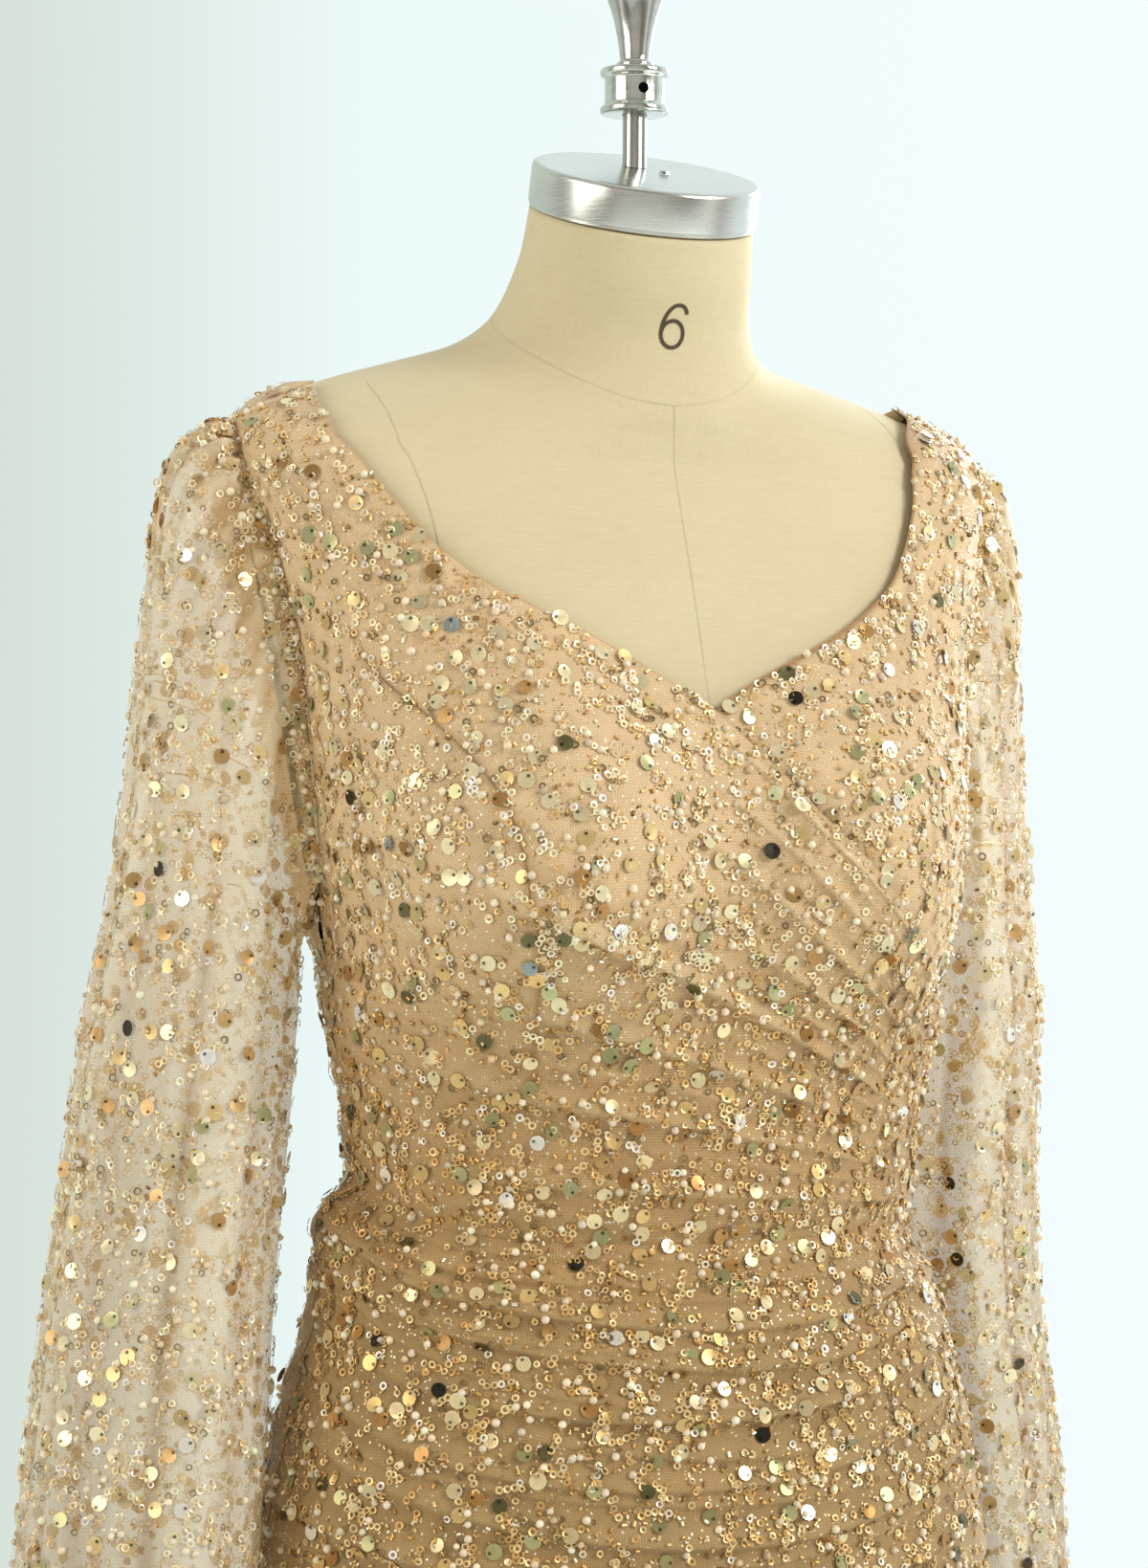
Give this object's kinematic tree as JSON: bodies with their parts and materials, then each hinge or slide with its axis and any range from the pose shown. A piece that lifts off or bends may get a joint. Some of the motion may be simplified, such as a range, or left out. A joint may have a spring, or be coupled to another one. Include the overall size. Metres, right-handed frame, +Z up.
{
  "type": "sequin wedding dress on dress form",
  "caption": "Floor-length sequin wrap-front gown with long sheer sleeves and a ruched skirt, worn by a limbless dress form on a round stand.",
  "frame": {"origin": "centre of the base plate's underside, on the floor, under the pole", "axes": "+Z up along the pole, -Y out of the dress's front, +X to the wearer's left"},
  "size_m": [0.702, 0.6686, 1.6741],
  "materials": {
    "linen": "matt natural linen, smooth and padded",
    "aluminium": "brushed",
    "chrome": "polished",
    "enamel": "smooth off-white enamel",
    "beaded_tulle": "nude cloth under tulle with sequins, rings, pearls and beads",
    "sheer_tulle": "sheer tulle with sequins, rings, pearls and beads",
    "gilt": "polished gilt"
  },
  "bodies": {
    "dress_form": {"base_plate": "enamel", "stand_pole": "enamel", "torso_form": "linen", "neck_cap": "aluminium", "cap_screw": "chrome", "neck_rod": "chrome", "rod_collar": "chrome", "finial": "chrome", "bodice_front_over": "beaded_tulle", "bodice_front_under": "beaded_tulle", "bodice_back_right": "beaded_tulle", "bodice_back_left": "beaded_tulle", "skirt_front": "beaded_tulle", "skirt_back_right": "beaded_tulle", "skirt_back_left": "beaded_tulle", "sleeve_right": "sheer_tulle", "sleeve_left": "sheer_tulle", "zip_slider": "gilt"},
    "pull": {"zip_pull": "gilt"}
  },
  "joints": [
    {"name": "zip_pull_swing", "type": "hinge", "parent": "dress_form", "child": "pull", "pos_m": [0, 0.12351, 1.36753], "axis": [1, 0, 0], "range_deg": [0, 150]}
  ]
}
